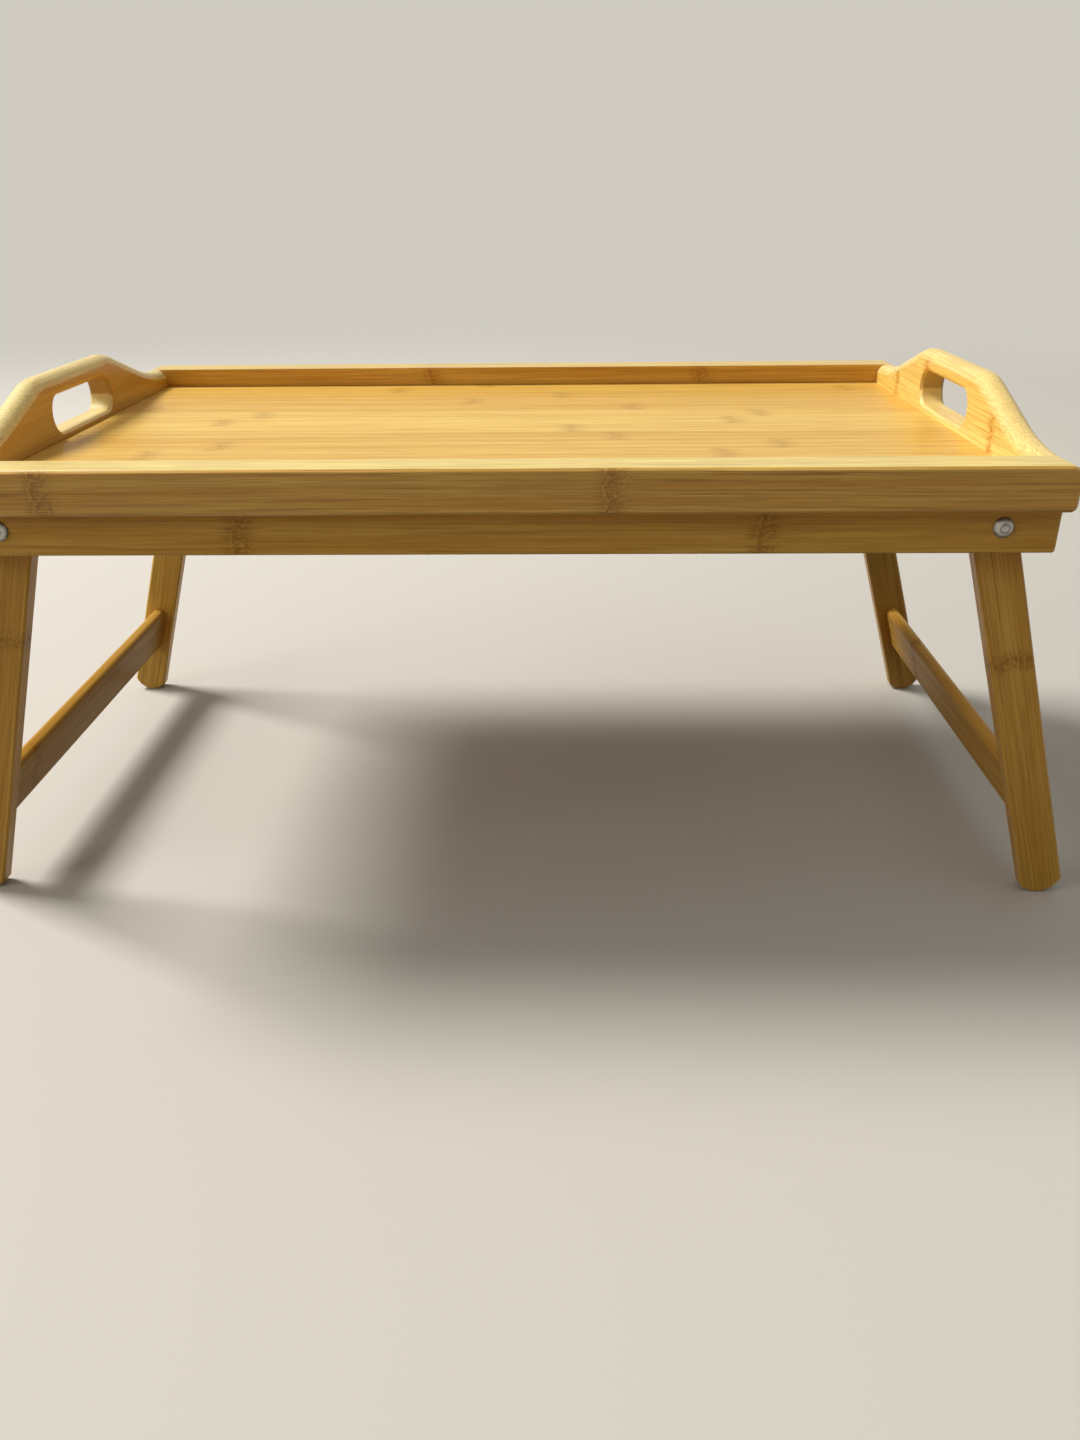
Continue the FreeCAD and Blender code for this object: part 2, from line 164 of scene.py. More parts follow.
def make_joint_group():
    """The mark that a joint of the stalk leaves: a zigzag line, cracks and broken fibres."""
    group, given, result = shader_group(
        "bamboo_joint",
        [("Grain", "NodeSocketVector", None), ("Offset", "NodeSocketFloat", 0.0),
         ("Reach", "NodeSocketFloat", 9.0), ("Line", "NodeSocketFloat", 0.6),
         ("Halo", "NodeSocketFloat", 0.1)],
        [("Dark", "NodeSocketFloat"), ("Light", "NodeSocketFloat")])
    grain = given.outputs["Grain"]
    offset = given.outputs["Offset"]
    reach = given.outputs["Reach"]
    endless = 1e6
    wander = 12.0               # how far the joint strays along the grain, in millimetres
    zigzag_width = 5.0
    short_side = 1.6            # on its other side the mark fades this many times faster
    mark_depth = 0.75
    heart_place = 0.22          # the cracked heart of the mark, as shares of its reach
    heart_near = 0.15
    heart_far = 0.45
    halo_reach = 0.9
    fibre_contrast = 7.0
    fibre_start = -2.9
    light_place = 1.2           # the pale line beside the dark one
    slow = stretched_noise(group, grain, endless, width=8.0, detail=1.0, shift=3.0)
    zigzag = stretched_noise(group, grain, endless, width=1.5, detail=1.0, shift=8.0)
    along = reckon(group, "ADD", offset,
                   reckon(group, "MULTIPLY_ADD", slow, wander, -wander / 2))
    along = reckon(group, "ADD", along,
                   reckon(group, "MULTIPLY_ADD", zigzag, zigzag_width, -zigzag_width / 2))
    far = reckon(group, "MAXIMUM", along, reckon(group, "MULTIPLY", along, -short_side))
    fibre = stretched_noise(group, grain, endless, width=0.8, shift=5.0)
    length = reckon(group, "MULTIPLY", reach,
                    reckon(group, "MULTIPLY_ADD", fibre, fibre_contrast, fibre_start,
                           clamp=True))
    comb = reckon(group, "MULTIPLY", step_down(group, far, 0.0, length), mark_depth)
    line = step_down(group, reckon(group, "ABSOLUTE", along, None), near=0.15, far=0.6)
    line = reckon(group, "MULTIPLY", line, given.outputs["Line"])

    shards = stretched_cells(group, grain, length=3.4, width=2.0, feature="DISTANCE_TO_EDGE")
    middle = reckon(group, "SUBTRACT", along, reckon(group, "MULTIPLY", reach, heart_place))
    middle = reckon(group, "ABSOLUTE", middle, None)
    heart = step_down(group, middle, reckon(group, "MULTIPLY", reach, heart_near),
                      reckon(group, "MULTIPLY", reach, heart_far))
    crack = step_down(group, shards, near=0.01, far=0.10)
    cracks = reckon(group, "MULTIPLY", reckon(group, "MULTIPLY", crack, heart), mark_depth)
    halo = step_down(group, far, 0.0, reckon(group, "MULTIPLY", reach, halo_reach))
    dark = reckon(group, "MAXIMUM", reckon(group, "MAXIMUM", comb, line), cracks)
    group.links.new(reckon(group, "MULTIPLY_ADD", halo, given.outputs["Halo"], dark, clamp=True),
                    result.inputs["Dark"])
    beside = reckon(group, "ABSOLUTE", reckon(group, "ADD", along, light_place), None)
    light = step_down(group, beside, near=0.1, far=0.8)
    # glints: painted highlights in the cracked heart of the mark; with the pale line beside the
    # dark one they make the Light output
    glint = stretched_noise(group, grain, length=2.4, width=0.9, detail=1.0, shift=9.0)
    glint = reckon(group, "MULTIPLY", step_down(group, glint, near=0.36, far=0.46), heart)
    group.links.new(reckon(group, "MAXIMUM", light, glint), result.inputs["Light"])
    return group


def make_scatter_group():
    """How far a point is from the nearest stalk joint of its own strip, along the grain."""
    group, given, result = shader_group(
        "bamboo_scattered_joints",
        [("Grain", "NodeSocketVector", None), ("Place", "NodeSocketFloat", 0.0),
         ("Spacing", "NodeSocketFloat", 230.0)],
        [("Offset", "NodeSocketFloat")])
    parts = group.nodes.new("ShaderNodeSeparateXYZ")
    wire(group, given, "Grain", parts.inputs[0])
    turns = reckon(group, "DIVIDE", parts.outputs["X"], given.outputs["Spacing"])
    turns = reckon(group, "ADD", turns, given.outputs["Place"])
    part = reckon(group, "SUBTRACT", reckon(group, "FRACT", turns, None), 0.5)
    group.links.new(reckon(group, "MULTIPLY", part, given.outputs["Spacing"]),
                    result.inputs["Offset"])
    return group


def make_wear_and_sheen_group():
    """Edges rubbed by hands and sanding, with a painted highlight where light catches them: a
    paler band along the edges of a piece's box.
    """
    group, given, result = shader_group(
        "edge_wear_and_sheen",
        [("Position", "NodeSocketVector", None), ("Low corner", "NodeSocketVector", None),
         ("High corner", "NodeSocketVector", None), ("Width", "NodeSocketFloat", 1.5)],
        [("Rub", "NodeSocketFloat")])
    least_width = 0.2           # the band's width varies, as shares of the one given
    width_spread = 1.6
    gaps = []
    for corner in ("Low corner", "High corner"):
        gap = group.nodes.new("ShaderNodeVectorMath")
        gap.operation = "SUBTRACT"
        wire(group, given, "Position", gap.inputs[0])
        wire(group, given, corner, gap.inputs[1])
        size = group.nodes.new("ShaderNodeVectorMath")
        size.operation = "ABSOLUTE"
        wire(group, gap, "Vector", size.inputs[0])
        gaps.append(size)
    least = group.nodes.new("ShaderNodeVectorMath")
    least.operation = "MINIMUM"
    wire(group, gaps[0], "Vector", least.inputs[0])
    wire(group, gaps[1], "Vector", least.inputs[1])
    parts = group.nodes.new("ShaderNodeSeparateXYZ")
    wire(group, least, "Vector", parts.inputs[0])
    x, y, z = (parts.outputs[axis] for axis in "XYZ")
    low = reckon(group, "MINIMUM", x, y)
    high = reckon(group, "MAXIMUM", x, y)
    second = reckon(group, "MAXIMUM", low, reckon(group, "MINIMUM", high, z))
    patchy = stretched_noise(group, given.outputs["Position"], length=9.0, width=9.0,
                             detail=3.0, shift=4.0)
    reach = reckon(group, "MULTIPLY", given.outputs["Width"],
                   reckon(group, "MULTIPLY_ADD", patchy, width_spread, least_width))
    wear_and_sheen = step_down(group, second, 0.0, reach)
    group.links.new(wear_and_sheen, result.inputs["Rub"])
    return group


def make_finish_group():
    """Colour, gloss and relief of lacquered bamboo, from its fibres, strips and joints."""
    group, given, result = shader_group(
        "bamboo_finish",
        [("Pale", "NodeSocketColor", None), ("Deep", "NodeSocketColor", None),
         ("Brown", "NodeSocketColor", None), ("Joint brown", "NodeSocketColor", None),
         ("Cut", "NodeSocketColor", None), ("Crown", "NodeSocketColor", None),
         ("Threads", "NodeSocketFloat", 0.0), ("Streaks", "NodeSocketFloat", 0.5),
         ("Pores", "NodeSocketFloat", 0.0), ("Tone", "NodeSocketFloat", 0.5),
         ("Glue line", "NodeSocketFloat", 0.0), ("Joint dark", "NodeSocketFloat", 0.0),
         ("Joint light", "NodeSocketFloat", 0.0), ("Rub", "NodeSocketFloat", 0.0),
         ("End grain", "NodeSocketFloat", 0.0), ("Upper side", "NodeSocketFloat", 0.0),
         ("Grain depth", "NodeSocketFloat", 0.5), ("Tone spread", "NodeSocketFloat", 0.4)],
        [("Color", "NodeSocketColor"), ("Roughness", "NodeSocketFloat"),
         ("Height", "NodeSocketFloat")])

    def blend_colour(amount, first, second):
        node = group.nodes.new("ShaderNodeMix")
        node.data_type = "RGBA"
        group.links.new(amount, node.inputs["Factor"])
        group.links.new(first, node.inputs["A"])
        group.links.new(second, node.inputs["B"])
        return node.outputs["Result"]

    cut_share = 0.75            # how far end grain turns to the colour of the cut
    # painted highlight: how far an upward-facing side turns to its paler colour
    highlight_share = 0.8
    end_thread_loss = 0.7       # threads fade by this much on end grain
    glue_depth = 0.45
    flat_share = 0.85           # joints fade by this much on end grain and the upper side
    light_share = 0.45
    wear_and_sheen_share = 0.35
    streak_contrast = 2.6
    streak_start = -0.8
    pore_on_end = 0.24
    pore_on_side = 0.04
    plain_roughness = 0.30
    streak_roughness = 0.18
    rubbed_roughness = -0.06
    end_roughness = 0.15
    end_grain = given.outputs["End grain"]
    streak = reckon(group, "MULTIPLY_ADD", given.outputs["Streaks"], streak_contrast,
                    streak_start, clamp=True)
    tone = reckon(group, "SUBTRACT", given.outputs["Tone"], 0.5)
    mixed = reckon(group, "MULTIPLY_ADD", tone, given.outputs["Tone spread"], streak, clamp=True)
    colour = blend_colour(mixed, given.outputs["Pale"], given.outputs["Deep"])
    colour = blend_colour(reckon(group, "MULTIPLY", end_grain, cut_share), colour,
                          given.outputs["Cut"])
    # painted highlight: sides facing up turn paler, as where light falls from above
    upper = reckon(group, "MULTIPLY", given.outputs["Upper side"], highlight_share)
    colour = blend_colour(upper, colour, given.outputs["Crown"])
    threads = reckon(group, "MULTIPLY", given.outputs["Threads"], given.outputs["Grain depth"])
    threads = reckon(group, "MULTIPLY", threads,
                     reckon(group, "MULTIPLY_ADD", end_grain, -end_thread_loss, 1.0))
    pores = reckon(group, "MULTIPLY", given.outputs["Pores"],
                   reckon(group, "MULTIPLY_ADD", end_grain, pore_on_end, pore_on_side))
    dark = reckon(group, "MAXIMUM", threads, pores)
    dark = reckon(group, "MAXIMUM", dark,
                  reckon(group, "MULTIPLY", given.outputs["Glue line"], glue_depth))
    colour = blend_colour(dark, colour, given.outputs["Brown"])
    along_face = reckon(group, "MAXIMUM", end_grain, given.outputs["Upper side"])
    along_face = reckon(group, "MULTIPLY_ADD", along_face, -flat_share, 1.0)
    joint = reckon(group, "MULTIPLY", given.outputs["Joint dark"], along_face)
    colour = blend_colour(joint, colour, given.outputs["Joint brown"])
    light = reckon(group, "MULTIPLY", given.outputs["Joint light"], light_share)
    light = reckon(group, "MULTIPLY", light, along_face)
    dark = reckon(group, "MAXIMUM", dark, joint)
    colour = blend_colour(light, colour, given.outputs["Pale"])
    # paler edges: partly wear, partly a painted highlight where light catches the eased edges
    wear_and_sheen = reckon(group, "MULTIPLY", given.outputs["Rub"], wear_and_sheen_share)
    colour = blend_colour(wear_and_sheen, colour, given.outputs["Pale"])
    group.links.new(colour, result.inputs["Color"])
    rough = reckon(group, "MULTIPLY_ADD", given.outputs["Streaks"], streak_roughness,
                   plain_roughness)
    rough = reckon(group, "MULTIPLY_ADD", given.outputs["Rub"], rubbed_roughness, rough)
    rough = reckon(group, "MULTIPLY_ADD", end_grain, end_roughness, rough)
    group.links.new(rough, result.inputs["Roughness"])
    height = reckon(group, "SUBTRACT", light, dark)
    group.links.new(height, result.inputs["Height"])
    return group


fibre_group = make_fibre_group()
strip_group = make_strip_group()
joint_group = make_joint_group()
scatter_group = make_scatter_group()
wear_and_sheen_group = make_wear_and_sheen_group()
finish_group = make_finish_group()

honey_pale = (0.92, 0.62, 0.145, 1)
honey_deep = (0.74, 0.425, 0.065, 1)
scorch_brown = (0.38, 0.135, 0.006, 1)
joint_brown = (0.38, 0.15, 0.006, 1)
cut_cream = (0.95, 0.75, 0.34, 1)
along_tray = Matrix(((1, 0, 0), (0, 1, 0), (0, 0, 1)))
stalk_slant = (1.0, 0.37, 0.61)     # a step along the stalk is a step aside in it too
out_of_sight = 1000.0
end_contrast = 2.2              # how quickly end grain sets in as a side turns to the grain
end_start = -0.2
highlight_sharpness = 8.0           # how quickly the painted highlight sets in as a side turns up
relief_depth = 0.00015
relief_strength = 0.25
coat_roughness = 0.25


def bamboo_material(name, low, high, axes=along_tray, origin=Vector((0, 0, 0)),
                    strip_width=20.0, strip_thickness=20.0, line_width=0.15, tone_spread=0.5,
                    joints=(), upper_joints=(), joint_reach=15.0, joint_depth=1.0,
                    spacing=0.0, shift=0.0, grain_depth=0.45, pale=honey_pale,
                    deep=honey_deep, brown=scorch_brown, cut=cut_cream, top_highlight=None,
                    highlight_tilt=0.1, joint_colour=joint_brown, joint_line=0.6, halo=0.06,
                    specular=0.3, coat=0.08):
    """Lacquered bamboo whose grain runs along the first row of axes.

    low and high are the piece's corners in its own axes, joints the places of stalk joints
    along the grain, all in millimetres from origin; upper_joints are joints of the upper
    strips alone, each with the height from which it shows; where spacing is set, every glued
    strip has joints of its own that far apart; shift picks another bit of the stalk; the top
    colour, where given, is a painted highlight: the paler colour of a side whose normal rises
    more than the tilt given, as where light falls from above."""
    material = bpy.data.materials.new(name)
    material.use_nodes = True
    tree = material.node_tree
    shader = tree.nodes["Principled BSDF"]

    def place_group(group, **values):
        node = tree.nodes.new("ShaderNodeGroup")
        node.node_tree = group
        for key, value in values.items():
            socket = node.inputs[key.replace("_", " ")]
            if isinstance(value, bpy.types.NodeSocket):
                tree.links.new(value, socket)
            else:
                socket.default_value = value
        return node

    coordinates = tree.nodes.new("ShaderNodeTexCoord")
    millimetres = tree.nodes.new("ShaderNodeMapping")
    millimetres.inputs["Scale"].default_value = (in_metre, in_metre, in_metre)
    millimetres.inputs["Rotation"].default_value = axes.to_euler()
    millimetres.inputs["Location"].default_value = axes @ origin * -in_metre
    wire(tree, coordinates, "Object", millimetres.inputs["Vector"])
    position = millimetres.outputs["Vector"]
    moved = tree.nodes.new("ShaderNodeVectorMath")
    moved.inputs[1].default_value = [shift * part for part in stalk_slant]
    tree.links.new(position, moved.inputs[0])
    grain = moved.outputs["Vector"]
    parts = tree.nodes.new("ShaderNodeSeparateXYZ")
    tree.links.new(position, parts.inputs[0])

    fibres = place_group(fibre_group, Grain=grain)
    strips = place_group(strip_group, Grain=grain, Strip_width=strip_width,
                         Strip_thickness=strip_thickness, Line_width=line_width)
    wear_and_sheen = place_group(wear_and_sheen_group, Position=position, Low_corner=low, High_corner=high)
    offsets = [reckon(tree, "SUBTRACT", parts.outputs["X"], place) for place in joints]
    for place, height in upper_joints:
        lower = reckon(tree, "LESS_THAN", parts.outputs["Z"], height)
        away = reckon(tree, "MULTIPLY_ADD", lower, out_of_sight, -place)
        offsets.append(reckon(tree, "ADD", parts.outputs["X"], away))
    if spacing:
        offsets.append(place_group(scatter_group, Grain=grain, Place=strips.outputs["Place"],
                                   Spacing=spacing).outputs["Offset"])
    dark = light = None
    for offset in offsets:
        joint = place_group(joint_group, Grain=grain, Offset=offset, Reach=joint_reach,
                            Line=joint_line, Halo=halo)
        marks = [reckon(tree, "MULTIPLY", joint.outputs[side], joint_depth)
                 for side in ("Dark", "Light")]
        if dark is None:
            dark, light = marks
        else:
            dark = reckon(tree, "MAXIMUM", dark, marks[0])
            light = reckon(tree, "MAXIMUM", light, marks[1])

    normal = tree.nodes.new("ShaderNodeVectorMath")
    normal.operation = "DOT_PRODUCT"
    wire(tree, coordinates, "Normal", normal.inputs[0])
    normal.inputs[1].default_value = axes[0]
    facing = reckon(tree, "ABSOLUTE", normal.outputs["Value"], None)
    end_grain = reckon(tree, "MULTIPLY_ADD", facing, end_contrast, end_start, clamp=True)

    finish = place_group(
        finish_group, Pale=pale, Deep=deep, Brown=brown, Cut=cut, Crown=top_highlight or pale,
        Joint_brown=joint_colour,
        Threads=fibres.outputs["Threads"], Streaks=fibres.outputs["Streaks"],
        Pores=fibres.outputs["Pores"], Tone=strips.outputs["Tone"],
        Glue_line=strips.outputs["Glue line"], Rub=wear_and_sheen.outputs["Rub"], End_grain=end_grain,
        Grain_depth=grain_depth, Tone_spread=tone_spread)
    # painted highlight: sides whose normal rises get a paler colour, as where light falls from
    # above
    if top_highlight:
        sides = tree.nodes.new("ShaderNodeSeparateXYZ")
        wire(tree, coordinates, "Normal", sides.inputs[0])
        upper = reckon(tree, "MULTIPLY_ADD", sides.outputs["Z"], highlight_sharpness,
                       -highlight_sharpness * highlight_tilt, clamp=True)
        tree.links.new(upper, finish.inputs["Upper side"])
    if dark is not None:
        tree.links.new(dark, finish.inputs["Joint dark"])
        tree.links.new(light, finish.inputs["Joint light"])
    wire(tree, finish, "Color", shader.inputs["Base Color"])
    wire(tree, finish, "Roughness", shader.inputs["Roughness"])
    bump = tree.nodes.new("ShaderNodeBump")
    bump.inputs["Strength"].default_value = relief_strength
    bump.inputs["Distance"].default_value = relief_depth
    wire(tree, finish, "Height", bump.inputs["Height"])
    wire(tree, bump, "Normal", shader.inputs["Normal"])
    shader.inputs["Specular IOR Level"].default_value = specular
    shader.inputs["Coat Weight"].default_value = coat
    shader.inputs["Coat Roughness"].default_value = coat_roughness
    return material


def corners_of(node, axes=along_tray, origin=Vector((0, 0, 0))):
    """A node's lowest and highest corner in the given axes, in millimetres."""
    points = [axes @ (vertex.co - origin) * in_metre for vertex in nodes[node].data.vertices]
    low = [min(point[i] for point in points) for i in range(3)]
    high = [max(point[i] for point in points) for i in range(3)]
    return low, high


def wear_finish(node, material):
    """Give a CAD node its material in every slot."""
    for slot in nodes[node].material_slots:
        slot.material = material


panel_material = bamboo_material(
    "panel_bamboo_strips", *corners_of("tray_panel"), strip_width=21.0, strip_thickness=30.0,
    line_width=0.25, tone_spread=0.8, spacing=290.0, joint_depth=0.58, shift=400.0,
    grain_depth=0.5)
wear_finish("tray_panel", panel_material)

# ---- Long upper rails ----
# Each long side is a square bar of bamboo with its grain along the tray.  Its outer
# corners are rounded and its outer edges eased; a groove inside takes the panel's edge.

same_point = 0.000001
same_plane = math.radians(0.5)
edge_angle = math.radians(25)
edge_segments = 2


def soften(node, width):
    """Round the chamfered edges of a node a little and shade its flat faces flat."""
    piece = nodes[node]
    weld = piece.modifiers.new("weld", "WELD")
    weld.merge_threshold = same_point
    flat = piece.modifiers.new("flat_faces", "DECIMATE")
    flat.decimate_type = "DISSOLVE"
    flat.angle_limit = same_plane
    bevel = piece.modifiers.new("eased", "BEVEL")
    bevel.width = width
    bevel.segments = edge_segments
    bevel.limit_method = "ANGLE"
    bevel.angle_limit = edge_angle
    bevel.use_clamp_overlap = True
    bevel.harden_normals = False
    shade = piece.modifiers.new("shading", "WEIGHTED_NORMAL")
    shade.keep_sharp = False


rail_joints = {"front_upper_rail": (-199.6, 50.6), "back_upper_rail": (-59.8, 118.9)}
# of each pair of colours, the first is the front rail's and the second the back rail's;
# the back rail's are a darker copy, painted shade on its inner face, which faces away from the
# light
rail_pale = ((0.99, 0.62, 0.125, 1), (0.76, 0.455, 0.078, 1))
rail_deep = ((0.74, 0.345, 0.034, 1), (0.58, 0.285, 0.026, 1))
# paler colours for the rails' upper sides: a painted highlight
rail_highlight = ((1.0, 0.84, 0.24, 1), (0.96, 0.70, 0.15, 1))
for number, (rail, places) in enumerate(rail_joints.items()):
    rail_material = bamboo_material(
        rail + "_bamboo", *corners_of(rail), strip_width=21.0, strip_thickness=7.0,
        line_width=0.1, tone_spread=0.25, joints=places, shift=90.0 + 130.0 * number,
        pale=rail_pale[number], deep=rail_deep[number], top_highlight=rail_highlight[number],
        highlight_tilt=0.8, grain_depth=0.7, coat=0.6)
    wear_finish(rail, rail_material)
    soften(rail, width=0.0003)

# ---- Long lower rails ----
# A thinner bar glued under each upper rail, set back from its face.  The pivot bolts of
# the legs go through it near its ends.

shade_pale = (0.92, 0.54, 0.10, 1)
shade_deep = (0.72, 0.36, 0.04, 1)
lower_joints = {"front_lower_rail": (-117.6, 117.7), "back_lower_rail": (-150.0, 60.0)}
for number, (rail, places) in enumerate(lower_joints.items()):
    lower_material = bamboo_material(
        rail + "_bamboo", *corners_of(rail), strip_width=11.5, strip_thickness=22.0,
        line_width=0.1, tone_spread=0.25, joints=places, shift=310.0 + 170.0 * number,
        pale=shade_pale, deep=shade_deep, grain_depth=0.55)
    wear_finish(rail, lower_material)
    soften(rail, width=0.0004)

# ---- Handle boards ----
# The two ends are boards with the grain across the tray.  The top is shaped in one
# S-curve up to a level crest, rounded over, and a hand hole with eased rims is cut through.

across_tray = Matrix(((0, 1, 0), (-1, 0, 0), (0, 0, 1)))
board_joints = {"right_handle_board": (85.0, -80.0), "left_handle_board": (40.5,)}
crest_joints = {"right_handle_board": ((33.0, 238.0),), "left_handle_board": ()}
# of each pair of colours, the first is the right board's and the second the left board's;
# the right board's are paler, painted light on its lit inner face, and the left board's
# darker, painted shade on its shaded inner face
board_pale = ((1.0, 0.82, 0.28, 1), (0.74, 0.45, 0.075, 1))
board_deep = ((0.90, 0.61, 0.135, 1), (0.57, 0.295, 0.028, 1))
# paler colours for the boards' upper sides: a painted highlight
board_highlight = ((0.98, 0.76, 0.28, 1), (1.0, 0.86, 0.38, 1))
board_cut = (0.45, 0.26, 0.07, 1)
board_brown = (0.52, 0.22, 0.012, 1)
board_joint = (0.62, 0.27, 0.02, 1)
for number, (board, places) in enumerate(board_joints.items()):
    board_material = bamboo_material(
        board + "_bamboo", *corners_of(board, across_tray), axes=across_tray,
        strip_width=14.5, strip_thickness=6.5, line_width=0.12, tone_spread=0.4,
        joints=places, upper_joints=crest_joints[board], joint_reach=10.0, joint_line=0.0,
        halo=0.3, shift=520.0 + 210.0 * number, grain_depth=0.6, pale=board_pale[number],
        deep=board_deep[number], brown=board_brown, cut=board_cut,
        top_highlight=board_highlight[number], joint_colour=board_joint, coat=0.2)
    wear_finish(board, board_material)
    soften(board, width=0.0005)

# ---- Corner tenons ----
# Loose tenons of raw bamboo join each handle board to the long rails.  They are glued
# into mortises in both and don't show once the tray is together.

raw_pale = (0.74, 0.56, 0.31, 1)
raw_deep = (0.62, 0.42, 0.19, 1)
for number, tenon in enumerate(("front_corner_tenons", "back_corner_tenons")):
    tenon_material = bamboo_material(
        tenon + "_raw", *corners_of(tenon, across_tray), axes=across_tray, strip_width=5.0,
        strip_thickness=13.0, shift=700.0 + 90.0 * number, pale=raw_pale, deep=raw_deep)
    wear_finish(tenon, tenon_material)

# ---- Legs ----
# Four flat bamboo bars, grain lengthwise, with softened edges and rounded feet.  Each
# turns on a bolt through its upper end and leans outward when open.

leg_lean = math.radians(16.8)
leg_joints = {"front_right_leg": (72.0,), "front_left_leg": (58.0,),
              "back_right_leg": (45.0,), "back_left_leg": (30.0,)}
leg_brown = (0.32, 0.10, 0.004, 1)
# painted light and shade: the back right leg is darkened as if shadowed under the tray, the back
# left leg lightened
leg_light_and_shade = {"front_right_leg": 1.0, "front_left_leg": 0.95, "back_right_leg": 0.75,
            "back_left_leg": 1.2}
pivots = {joint["child"]: Vector(joint["pos_m"]) for joint in frame["joints"]}


def leg_axes(side):
    """Axes of a leg of one side (1 right, -1 left): down its grain, along Y, across it."""
    down = Vector((side * math.sin(leg_lean), 0, -math.cos(leg_lean)))
    depth = Vector((0, 1, 0))
    return Matrix((down, depth, down.cross(depth)))


def toned(colour, tone):
    """The same colour, lighter or darker."""
    return tuple(min(part * tone, 1.0) for part in colour[:3]) + (1,)


for number, (leg, places) in enumerate(leg_joints.items()):
    side = 1 if "right" in leg else -1
    axes = leg_axes(side)
    origin = pivots["right_leg_frame" if side > 0 else "left_leg_frame"]
    leg_material = bamboo_material(
        leg + "_bamboo", *corners_of(leg, axes, origin), axes=axes, origin=origin,
        strip_width=10.0, strip_thickness=22.0, line_width=0.1, tone_spread=0.25,
        joints=places, joint_reach=12.0, shift=60.0 + 140.0 * number,
        pale=toned(shade_pale, leg_light_and_shade[leg]), deep=toned(shade_deep, leg_light_and_shade[leg]),
        brown=leg_brown, grain_depth=0.6)
    wear_finish(leg, leg_material)
    soften(leg, width=0.0004)

# ---- Crossbars ----
# A flat bar with rounded edges ties the two legs of each frame; its stub tenons are
# glued into the legs.

bar_pale = (0.84, 0.50, 0.10, 1)
bar_deep = (0.64, 0.33, 0.04, 1)
bar_light_and_shade = (1.05, 0.75)         # of the right bar and the left one; the left is darkened as painted shade, the right a little lightened
for number, bar in enumerate(("right_crossbar", "left_crossbar")):
    bar_material = bamboo_material(
        bar + "_bamboo", *corners_of(bar, across_tray), axes=across_tray, strip_width=8.5,
        strip_thickness=40.0, line_width=0.1, tone_spread=0.3, joints=(60.0 - 150.0 * number,),
        joint_reach=12.0, shift=230.0 + 160.0 * number, pale=toned(bar_pale, bar_light_and_shade[number]),
        deep=toned(bar_deep, bar_light_and_shade[number]), specular=0.08, coat=0.0)
    wear_finish(bar, bar_material)
    soften(bar, width=0.0003)

# ---- Pivot bolts, washers and nuts ----
# Each leg turns on a nickel-plated bolt with a domed, dimpled head on the outside and a
# locking nut inside the tray, with a zinc washer on each side of the leg.


def make_plate_group():
    """Satin plated metal: cloudy tone, fine scuffs and a duller skin in patches."""
    group, given, result = shader_group(
        "plated_metal",
        [("Position", "NodeSocketVector", None), ("Bright", "NodeSocketColor", None),
         ("Dull", "NodeSocketColor", None)],
        [("Color", "NodeSocketColor"), ("Roughness", "NodeSocketFloat"),
         ("Height", "NodeSocketFloat")])
    cloud_contrast = 1.8
    cloud_start = -0.4
    plain_roughness = 0.27
    scuff_roughness = 0.15
    cloud_roughness = 0.12
    position = given.outputs["Position"]
    cloud = stretched_noise(group, position, length=2.2, width=2.2, detail=3.0, shift=0.7)
    scuff = stretched_noise(group, position, length=3.0, width=0.12, shift=5.3)
    mix = group.nodes.new("ShaderNodeMix")
    mix.data_type = "RGBA"
    dulled = reckon(group, "MULTIPLY_ADD", cloud, cloud_contrast, cloud_start, clamp=True)
    group.links.new(dulled, mix.inputs["Factor"])
    wire(group, given, "Bright", mix.inputs["A"])
    wire(group, given, "Dull", mix.inputs["B"])
    wire(group, mix, "Result", result.inputs["Color"])
    rough = reckon(group, "MULTIPLY_ADD", scuff, scuff_roughness, plain_roughness)
    rough = reckon(group, "MULTIPLY_ADD", cloud, cloud_roughness, rough)
    group.links.new(rough, result.inputs["Roughness"])
    group.links.new(scuff, result.inputs["Height"])
    return group


def make_ring_shade_group():
    """Painted shade in a ring about a pivot: round a dimple's edge and under a rim."""
    group, given, result = shader_group(
        "ring_of_painted_shade",
        [("Position", "NodeSocketVector", None), ("Pivot X", "NodeSocketFloat", 0.0),
         ("Pivot Z", "NodeSocketFloat", 0.0), ("Radius", "NodeSocketFloat", 1.0),
         ("Width", "NodeSocketFloat", 0.5)],
        [("PaintedShade", "NodeSocketFloat")])
    patch_contrast = 1.2
    patch_start = 0.1
    parts = group.nodes.new("ShaderNodeSeparateXYZ")
    wire(group, given, "Position", parts.inputs[0])
    across = reckon(group, "ABSOLUTE", parts.outputs["X"], None)
    across = reckon(group, "SUBTRACT", across, given.outputs["Pivot X"])
    upward = reckon(group, "SUBTRACT", parts.outputs["Z"], given.outputs["Pivot Z"])
    square = reckon(group, "MULTIPLY", across, across)
    square = reckon(group, "MULTIPLY_ADD", upward, upward, square)
    distance = reckon(group, "SUBTRACT", reckon(group, "SQRT", square, None),
                      given.outputs["Radius"])
    ring = step_down(group, reckon(group, "ABSOLUTE", distance, None), 0.0,
                     given.outputs["Width"])
    patchy = stretched_noise(group, given.outputs["Position"], length=1.5, width=1.5,
                             shift=2.2)
    amount = reckon(group, "MULTIPLY_ADD", patchy, patch_contrast, patch_start, clamp=True)
    group.links.new(reckon(group, "MULTIPLY", ring, amount), result.inputs["PaintedShade"])
    return group


plate_group = make_plate_group()
ring_shade_group = make_ring_shade_group()
